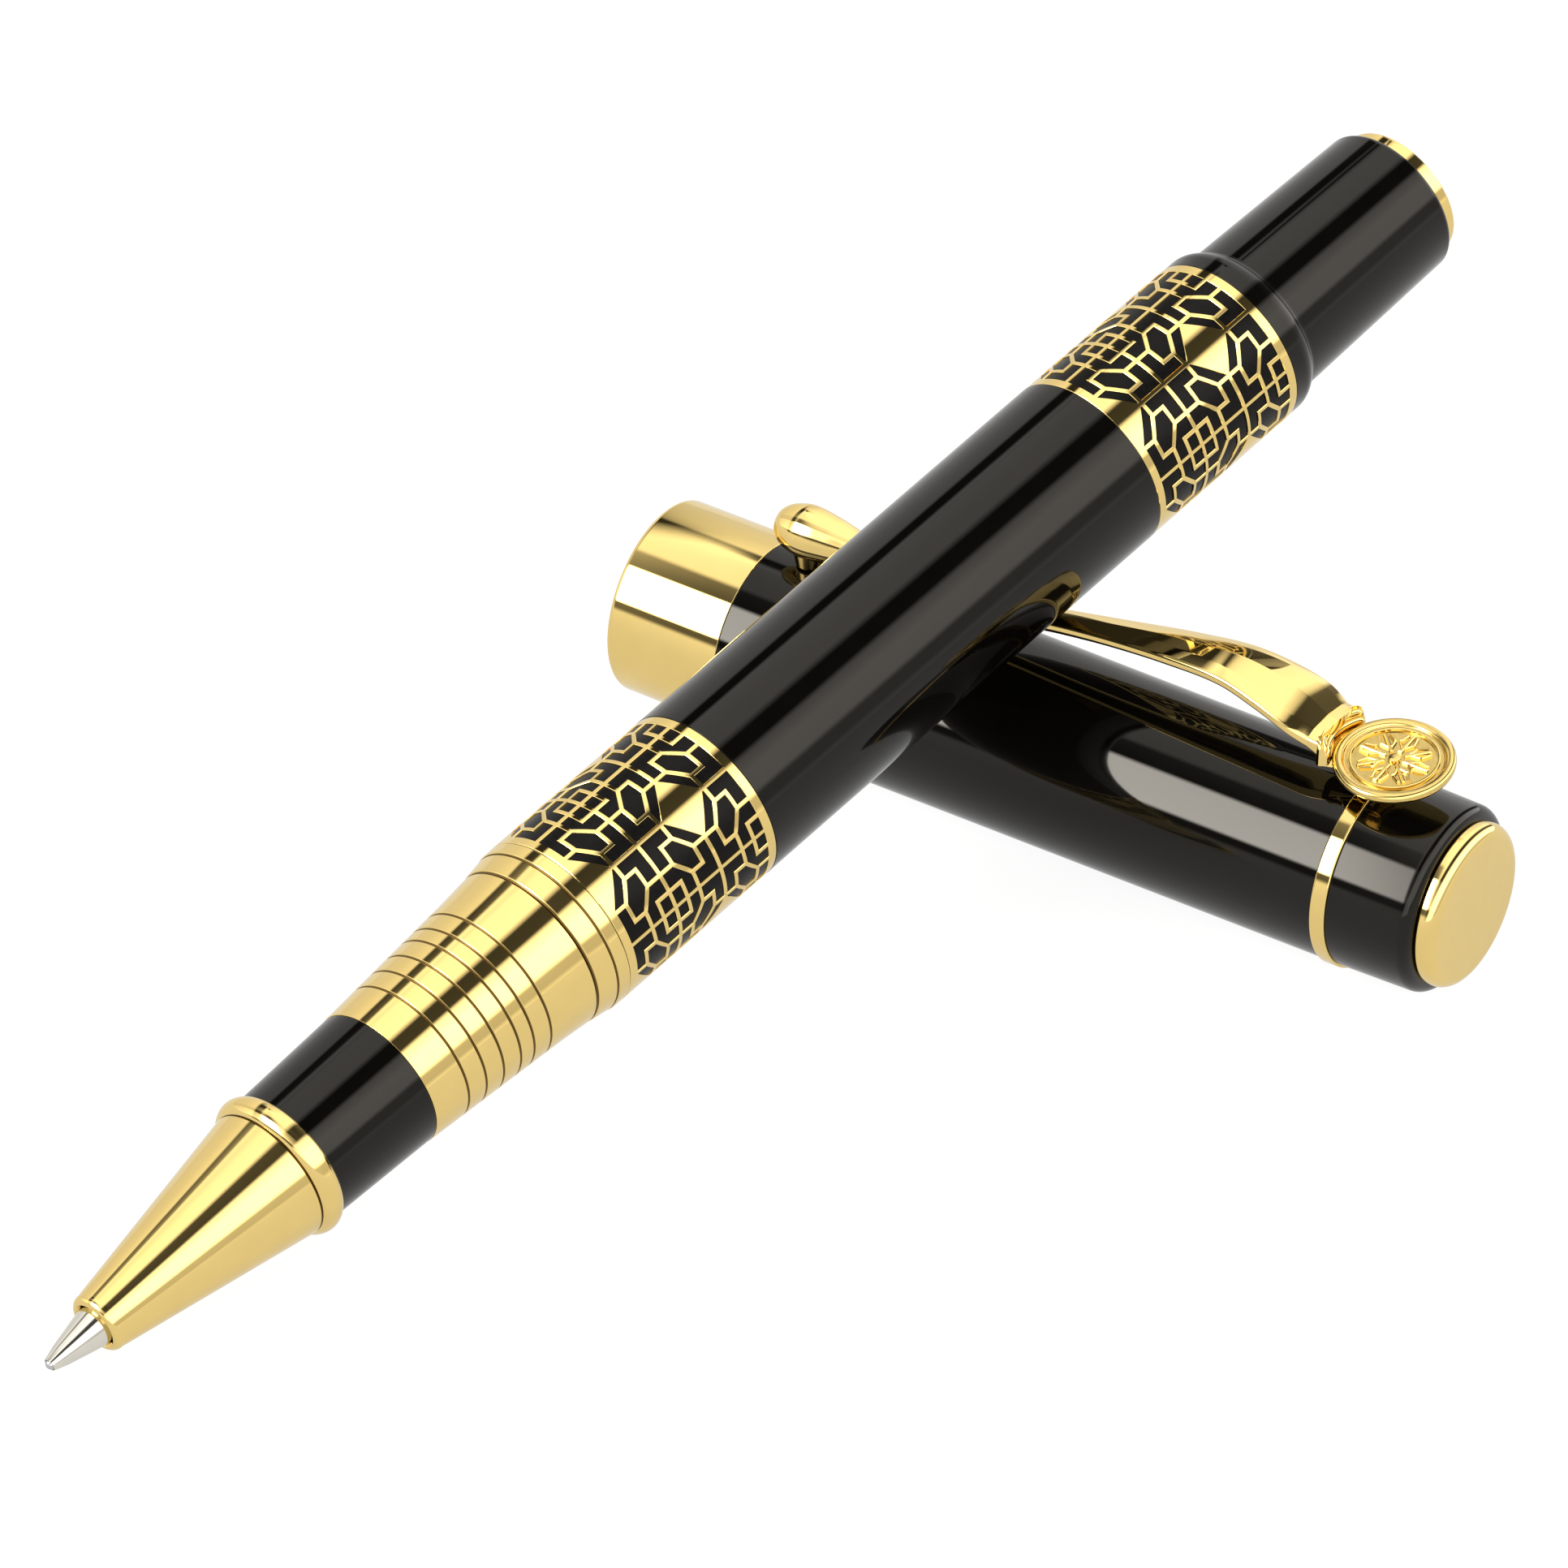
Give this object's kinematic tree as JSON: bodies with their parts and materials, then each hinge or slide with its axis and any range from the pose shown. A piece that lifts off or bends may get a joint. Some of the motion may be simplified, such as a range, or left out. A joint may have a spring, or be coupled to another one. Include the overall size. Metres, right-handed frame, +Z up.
{
  "type": "rollerball pen",
  "caption": "Rollerball pen lying across its own cap: black lacquered barrel with gold lattice bands, ringed gold grip and gold nose cone; capless end shown.",
  "frame": {"origin": "on the table, under the middle of the pen and cap together", "axes": "+Z up from the table; +X along the cap from its mouth to its crown; +Y roughly along the pen from its ball to its tail"},
  "size_m": [0.0598, 0.1182, 0.0354],
  "materials": {
    "gold": "polished",
    "lacquer": "gloss",
    "infill": "satin",
    "brass": "machined",
    "tip_metal": "polished",
    "ball": "polished",
    "spring": "drawn wire",
    "plastic": "moulded",
    "refill": "moulded",
    "fibre": "bonded fibre"
  },
  "bodies": {
    "cap": {"cap_tube": "lacquer", "cap_mouth_ring": "gold", "cap_liner": "plastic", "clip_ring": "gold", "clip_pin": "gold", "cap_crown": "lacquer", "crown_disc": "gold", "crown_screw": "brass", "crown_bush": "brass"},
    "clip": {"clip_arm": "gold", "clip_neck": "gold", "clip_medallion": "gold"},
    "section": {"nose_cone": "gold", "grip_sleeve": "lacquer", "grip_cone": "gold", "section_collar": "gold", "section_core": "brass"},
    "refill": {"refill_tube": "refill", "writing_tip": "tip_metal", "tip_holder": "plastic", "ink_wick": "fibre", "ink_reservoir": "fibre", "refill_plug": "plastic"},
    "ball": {"refill_ball": "ball"},
    "spring": {"tail_spring": "spring"},
    "barrel": {"barrel_shell": "lacquer", "front_filigree": "gold", "rear_filigree": "gold", "front_infill": "infill", "rear_infill": "infill", "barrel_liner": "brass", "thread_insert": "brass", "shoulder_ring": "lacquer", "tail_tube": "lacquer", "tail_plug": "brass", "tail_finial": "gold"}
  },
  "joints": [
    {"name": "clip_flex", "type": "hinge", "parent": "cap", "child": "clip", "pos_m": [0.02232, 0.0235, 0.0133], "axis": [0, 1, 0], "range_deg": [0, 3.5], "stiffness_Nm_per_rad": 2.6, "springref_deg": -1.72},
    {"name": "pen_lift", "type": "slide", "parent": "clip", "child": "section", "axis": [0, 0, 1], "range_m": [0, 0.06]},
    {"name": "refill_press", "type": "slide", "parent": "section", "child": "refill", "axis": [0.1653, 0.9553, 0.2451], "range_m": [0, 0.0005], "stiffness_N_per_m": 500, "springref_m": -0.003},
    {"name": "ball_roll", "type": "hinge", "parent": "refill", "child": "ball", "pos_m": [-0.01778, -0.05872, 0.00093], "axis": [1, 0, 0], "continuous": true},
    {"name": "barrel_back", "type": "slide", "parent": "section", "child": "spring", "axis": [0.1653, 0.9553, 0.2451], "range_m": [0, 0.0075]},
    {"name": "barrel_unscrew", "type": "hinge", "parent": "spring", "child": "barrel", "pos_m": [-0.00454, 0.0178, 0.02056], "axis": [0.1653, 0.9553, 0.2451], "range_deg": [0, 3600]}
  ],
  "couplings": [
    {"joint": "barrel_unscrew", "follows": "barrel_back", "rad_per_m": 8377.6}
  ]
}
